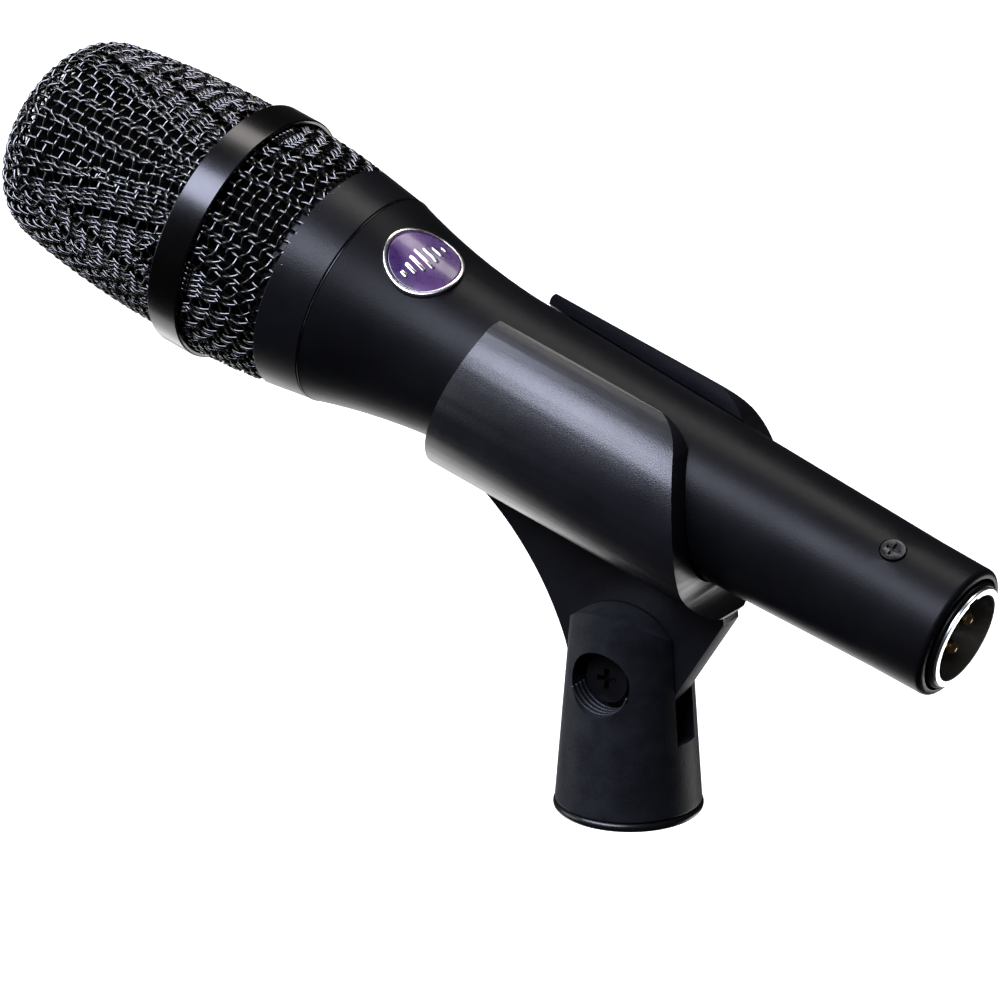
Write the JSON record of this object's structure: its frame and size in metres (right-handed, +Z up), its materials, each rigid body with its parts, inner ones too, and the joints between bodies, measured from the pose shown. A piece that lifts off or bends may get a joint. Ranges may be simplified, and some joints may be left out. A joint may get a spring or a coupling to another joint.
{
  "type": "dynamic microphone",
  "caption": "Handheld dynamic microphone with a domed wire-mesh head and round side badge, held in a tilting C-shaped stand clip with a threaded base.",
  "frame": {"origin": "centre of the stand thread at the bottom face of the clip's swivel base", "axes": "+Z up the stand's axis, the microphone's axis lies in the X-Z plane with its head towards -X and up, the tilt pivot runs along Y"},
  "size_m": [0.1981, 0.0472, 0.1212],
  "materials": {
    "base_plastic": "satin, slightly scuffed",
    "insert_metal": "blackened",
    "black_screw": "black oxide",
    "clip_plastic": "satin",
    "handle_coat": "satin black coat, fine grain",
    "badge_metal": "polished",
    "badge_enamel": "gloss enamel",
    "brass": "machined",
    "capsule_plastic": "moulded",
    "rubber": "matte",
    "steel": "plated",
    "magnet": "nickel plated",
    "felt": "felt",
    "board": "laminate",
    "lead_jacket": "smooth",
    "connector_chrome": "polished",
    "connector_plastic": "moulded",
    "gold_contact": "gold plated",
    "copper": "bare copper",
    "collar_coat": "satin",
    "grille_wire": "black nickel wire",
    "band_coat": "satin",
    "foam": "open foam",
    "film": "thin film"
  },
  "bodies": {
    "stand_base": {"swivel_base": "base_plastic", "thread_insert": "insert_metal", "pivot_screw": "black_screw", "pivot_nut": "black_screw"},
    "cradle": {"clip_cradle": "clip_plastic"},
    "microphone": {"handle": "handle_coat", "connector_screw": "black_screw", "badge_rim": "badge_metal", "badge_enamel": "badge_enamel", "neck_ring": "brass", "capsule_can": "capsule_plastic", "shock_mount": "rubber", "magnet_yoke": "steel", "magnet": "magnet", "pole_piece": "steel", "top_plate": "steel", "resonator_cap": "capsule_plastic", "rear_felt": "felt", "terminal_board": "board", "output_transformer": "steel", "transformer_sleeve": "rubber", "signal_leads": "lead_jacket", "contact_leads": "lead_jacket", "connector_shell": "connector_chrome", "connector_insulator": "connector_plastic", "connector_contacts": "gold_contact", "ground_spring": "copper"},
    "head": {"grille_collar": "collar_coat", "rear_grille": "grille_wire", "grille_band": "band_coat", "front_grille": "grille_wire", "foam_liner": "foam"},
    "moving_coil": {"voice_coil": "copper", "diaphragm": "film"}
  },
  "joints": [
    {"name": "clip_tilt", "type": "hinge", "parent": "stand_base", "child": "cradle", "pos_m": [0, 0, 0.0247], "axis": [0, 1, 0], "range_deg": [-74, 60]},
    {"name": "mic_slide", "type": "slide", "parent": "cradle", "child": "microphone", "axis": [-0.956, 0, 0.2934], "range_m": [0, 0.1]},
    {"name": "head_unscrew", "type": "hinge", "parent": "microphone", "child": "head", "pos_m": [-0.05736, 0, 0.0826], "axis": [-0.956, 0, 0.2934], "range_deg": [0, 1080]},
    {"name": "diaphragm_stroke", "type": "slide", "parent": "microphone", "child": "moving_coil", "axis": [-0.956, 0, 0.2934], "range_m": [-0.0004, 0.0004], "stiffness_N_per_m": 900}
  ]
}
